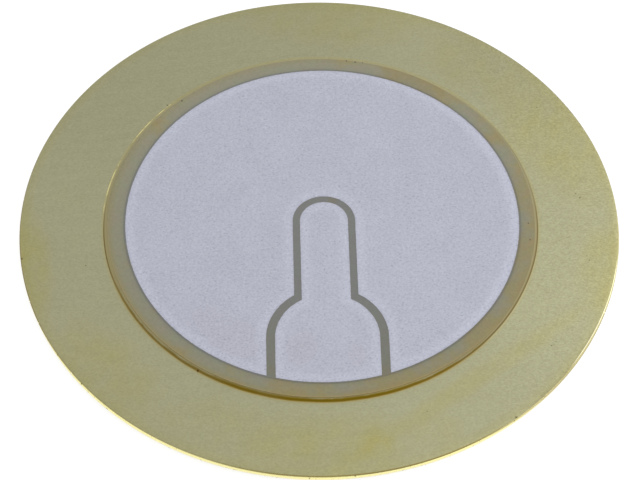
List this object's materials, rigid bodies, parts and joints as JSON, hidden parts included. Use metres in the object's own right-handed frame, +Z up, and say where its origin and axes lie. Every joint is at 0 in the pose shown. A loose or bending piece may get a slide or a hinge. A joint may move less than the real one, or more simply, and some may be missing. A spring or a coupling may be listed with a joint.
{
  "type": "piezo disc",
  "caption": "Thin round brass plate bonded to a piezoceramic wafer with a split silver electrode; it bends when driven, to make sound, and feeds back a signal.",
  "frame": {"origin": "centre of the brass plate's underside", "axes": "+Z up through the layers, towards the printed face; -Y towards the foot of the feedback electrode"},
  "size_m": [0.035, 0.035, 0.0005],
  "materials": {
    "brass": "satin rolled strip with a fine straight grain, lightly dulled",
    "adhesive": "cured clear amber, glossy",
    "lower_silver": "matte fired silver",
    "piezoceramic": "matte fired ceramic, grey olive",
    "upper_silver": "matte screen-printed fired silver"
  },
  "bodies": {
    "root": {"brass_plate": "brass", "bond_layer": "adhesive", "lower_electrode": "lower_silver", "ceramic_disc": "piezoceramic", "main_electrode": "upper_silver", "feedback_electrode": "upper_silver"}
  },
  "joints": []
}
